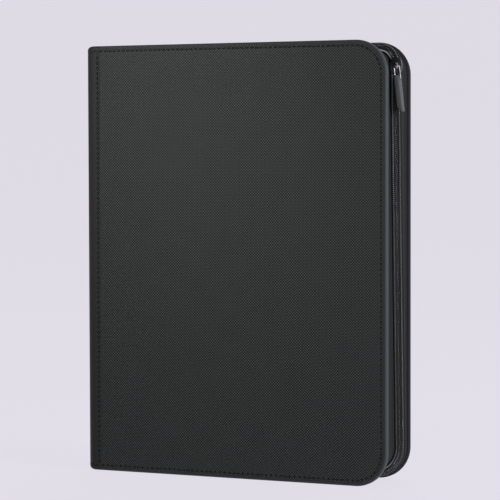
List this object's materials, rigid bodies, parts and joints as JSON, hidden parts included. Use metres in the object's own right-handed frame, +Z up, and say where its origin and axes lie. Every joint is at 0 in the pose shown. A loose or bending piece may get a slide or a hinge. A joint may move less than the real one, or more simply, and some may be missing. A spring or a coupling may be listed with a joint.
{
  "type": "zip-up trading card binder",
  "caption": "Zip-up binder for trading cards: padded embossed covers and spine, fabric gusset with a coil zip on three sides, and nine-pocket leaves that turn on the spine.",
  "frame": {"origin": "on the ground under the middle of the covers (bottom centre of the bounding box)", "axes": "+X from the spine to the fore-edge, -Y out of the front cover, +Z up, binder standing on its bottom edges"},
  "size_m": [0.2698, 0.0564, 0.35],
  "materials": {
    "cover_skin": "embossed matte",
    "foam": "foam",
    "board": "grey board",
    "lining": "fine woven",
    "thread": "sewing thread",
    "zip_tape": "twill tape",
    "zip_coil": "nylon coil",
    "binding": "woven strip",
    "slider_metal": "gunmetal",
    "pull_wire": "gunmetal wire",
    "pull_tab": "soft moulded",
    "leaf": "embossed film with clear pockets"
  },
  "bodies": {
    "back_cover": {"back_cover_skin": "cover_skin", "back_cover_foam": "foam", "back_cover_board": "board", "back_cover_lining": "lining", "back_edge_stitching": "thread", "back_hinge_stitching": "thread", "back_zip_tape": "zip_tape", "back_zip_coil": "zip_coil", "zip_top_stop": "slider_metal", "zip_bottom_stop": "slider_metal"},
    "spine": {"spine_skin": "cover_skin", "spine_foam": "foam", "spine_board": "board", "spine_lining": "lining", "page_binding_strip": "binding", "front_hinge_strip": "cover_skin", "back_hinge_strip": "cover_skin"},
    "front_cover": {"front_cover_skin": "cover_skin", "front_cover_foam": "foam", "front_cover_board": "board", "front_cover_lining": "lining", "front_edge_stitching": "thread", "front_hinge_stitching": "thread", "front_zip_tape": "zip_tape", "front_zip_coil": "zip_coil"},
    "zip_slider": {"slider_body": "slider_metal", "slider_bridge": "slider_metal"},
    "zip_pull": {"pull_wire": "pull_wire", "pull_tab": "pull_tab"},
    "leaf_01": {"leaf_01": "leaf"},
    "leaf_02": {"leaf_02": "leaf"},
    "leaf_03": {"leaf_03": "leaf"},
    "leaf_04": {"leaf_04": "leaf"},
    "leaf_05": {"leaf_05": "leaf"},
    "leaf_06": {"leaf_06": "leaf"},
    "leaf_07": {"leaf_07": "leaf"},
    "leaf_08": {"leaf_08": "leaf"},
    "leaf_09": {"leaf_09": "leaf"},
    "leaf_10": {"leaf_10": "leaf"},
    "leaf_11": {"leaf_11": "leaf"},
    "leaf_12": {"leaf_12": "leaf"},
    "leaf_13": {"leaf_13": "leaf"},
    "leaf_14": {"leaf_14": "leaf"},
    "leaf_15": {"leaf_15": "leaf"},
    "leaf_16": {"leaf_16": "leaf"},
    "leaf_17": {"leaf_17": "leaf"},
    "leaf_18": {"leaf_18": "leaf"},
    "leaf_19": {"leaf_19": "leaf"},
    "leaf_20": {"leaf_20": "leaf"}
  },
  "joints": [
    {"name": "spine_hinge", "type": "hinge", "parent": "back_cover", "child": "spine", "pos_m": [-0.131, 0.026, 0.175], "axis": [0, 0, -1], "range_deg": [0, 90], "deforming": ["back_hinge_strip"]},
    {"name": "front_cover_hinge", "type": "hinge", "parent": "spine", "child": "front_cover", "pos_m": [-0.131, -0.026, 0.175], "axis": [0, 0, -1], "range_deg": [0, 90], "deforming": ["front_hinge_strip", "front_zip_coil"]},
    {"name": "slider_travel", "type": "slide", "parent": "back_cover", "child": "zip_slider", "axis": [0, 0.0349, -0.9994], "range_m": [0, 0.29]},
    {"name": "pull_swing", "type": "hinge", "parent": "zip_slider", "child": "zip_pull", "pos_m": [0.13115, -0.00111, 0.33005], "axis": [-0.866, -0.4997, -0.0174], "range_deg": [0, 165]},
    {"name": "leaf_01_turn", "type": "hinge", "parent": "spine", "child": "leaf_01", "pos_m": [-0.1252, -0.01852, 0.175], "axis": [0, 0, -1], "range_deg": [0, 85.5]},
    {"name": "leaf_02_turn", "type": "hinge", "parent": "spine", "child": "leaf_02", "pos_m": [-0.12455, -0.01657, 0.175], "axis": [0, 0, -1], "range_deg": [0, 84.42]},
    {"name": "leaf_03_turn", "type": "hinge", "parent": "spine", "child": "leaf_03", "pos_m": [-0.1239, -0.01463, 0.175], "axis": [0, 0, -1], "range_deg": [0, 83.34]},
    {"name": "leaf_04_turn", "type": "hinge", "parent": "spine", "child": "leaf_04", "pos_m": [-0.12325, -0.01268, 0.175], "axis": [0, 0, -1], "range_deg": [0, 82.26]},
    {"name": "leaf_05_turn", "type": "hinge", "parent": "spine", "child": "leaf_05", "pos_m": [-0.1226, -0.01073, 0.175], "axis": [0, 0, -1], "range_deg": [0, 81.18]},
    {"name": "leaf_06_turn", "type": "hinge", "parent": "spine", "child": "leaf_06", "pos_m": [-0.12195, -0.00877, 0.175], "axis": [0, 0, -1], "range_deg": [0, 80.1]},
    {"name": "leaf_07_turn", "type": "hinge", "parent": "spine", "child": "leaf_07", "pos_m": [-0.1213, -0.00683, 0.175], "axis": [0, 0, -1], "range_deg": [0, 79.02]},
    {"name": "leaf_08_turn", "type": "hinge", "parent": "spine", "child": "leaf_08", "pos_m": [-0.12065, -0.00487, 0.175], "axis": [0, 0, -1], "range_deg": [0, 77.94]},
    {"name": "leaf_09_turn", "type": "hinge", "parent": "spine", "child": "leaf_09", "pos_m": [-0.12, -0.00293, 0.175], "axis": [0, 0, -1], "range_deg": [0, 76.86]},
    {"name": "leaf_10_turn", "type": "hinge", "parent": "spine", "child": "leaf_10", "pos_m": [-0.11935, -0.00097, 0.175], "axis": [0, 0, -1], "range_deg": [0, 75.78]},
    {"name": "leaf_11_turn", "type": "hinge", "parent": "spine", "child": "leaf_11", "pos_m": [-0.11935, 0.00097, 0.175], "axis": [0, 0, 1], "range_deg": [0, 75.78]},
    {"name": "leaf_12_turn", "type": "hinge", "parent": "spine", "child": "leaf_12", "pos_m": [-0.12, 0.00293, 0.175], "axis": [0, 0, 1], "range_deg": [0, 76.86]},
    {"name": "leaf_13_turn", "type": "hinge", "parent": "spine", "child": "leaf_13", "pos_m": [-0.12065, 0.00487, 0.175], "axis": [0, 0, 1], "range_deg": [0, 77.94]},
    {"name": "leaf_14_turn", "type": "hinge", "parent": "spine", "child": "leaf_14", "pos_m": [-0.1213, 0.00683, 0.175], "axis": [0, 0, 1], "range_deg": [0, 79.02]},
    {"name": "leaf_15_turn", "type": "hinge", "parent": "spine", "child": "leaf_15", "pos_m": [-0.12195, 0.00877, 0.175], "axis": [0, 0, 1], "range_deg": [0, 80.1]},
    {"name": "leaf_16_turn", "type": "hinge", "parent": "spine", "child": "leaf_16", "pos_m": [-0.1226, 0.01073, 0.175], "axis": [0, 0, 1], "range_deg": [0, 81.18]},
    {"name": "leaf_17_turn", "type": "hinge", "parent": "spine", "child": "leaf_17", "pos_m": [-0.12325, 0.01268, 0.175], "axis": [0, 0, 1], "range_deg": [0, 82.26]},
    {"name": "leaf_18_turn", "type": "hinge", "parent": "spine", "child": "leaf_18", "pos_m": [-0.1239, 0.01463, 0.175], "axis": [0, 0, 1], "range_deg": [0, 83.34]},
    {"name": "leaf_19_turn", "type": "hinge", "parent": "spine", "child": "leaf_19", "pos_m": [-0.12455, 0.01657, 0.175], "axis": [0, 0, 1], "range_deg": [0, 84.42]},
    {"name": "leaf_20_turn", "type": "hinge", "parent": "spine", "child": "leaf_20", "pos_m": [-0.1252, 0.01852, 0.175], "axis": [0, 0, 1], "range_deg": [0, 85.5]}
  ],
  "couplings": [
    {"joint": "leaf_01_turn", "follows": "front_cover_hinge", "ratio": 0.95},
    {"joint": "leaf_02_turn", "follows": "front_cover_hinge", "ratio": 0.938},
    {"joint": "leaf_03_turn", "follows": "front_cover_hinge", "ratio": 0.926},
    {"joint": "leaf_04_turn", "follows": "front_cover_hinge", "ratio": 0.914},
    {"joint": "leaf_05_turn", "follows": "front_cover_hinge", "ratio": 0.902},
    {"joint": "leaf_06_turn", "follows": "front_cover_hinge", "ratio": 0.89},
    {"joint": "leaf_07_turn", "follows": "front_cover_hinge", "ratio": 0.878},
    {"joint": "leaf_08_turn", "follows": "front_cover_hinge", "ratio": 0.866},
    {"joint": "leaf_09_turn", "follows": "front_cover_hinge", "ratio": 0.854},
    {"joint": "leaf_10_turn", "follows": "front_cover_hinge", "ratio": 0.842},
    {"joint": "leaf_11_turn", "follows": "spine_hinge", "ratio": 0.842},
    {"joint": "leaf_12_turn", "follows": "spine_hinge", "ratio": 0.854},
    {"joint": "leaf_13_turn", "follows": "spine_hinge", "ratio": 0.866},
    {"joint": "leaf_14_turn", "follows": "spine_hinge", "ratio": 0.878},
    {"joint": "leaf_15_turn", "follows": "spine_hinge", "ratio": 0.89},
    {"joint": "leaf_16_turn", "follows": "spine_hinge", "ratio": 0.902},
    {"joint": "leaf_17_turn", "follows": "spine_hinge", "ratio": 0.914},
    {"joint": "leaf_18_turn", "follows": "spine_hinge", "ratio": 0.926},
    {"joint": "leaf_19_turn", "follows": "spine_hinge", "ratio": 0.938},
    {"joint": "leaf_20_turn", "follows": "spine_hinge", "ratio": 0.95}
  ]
}
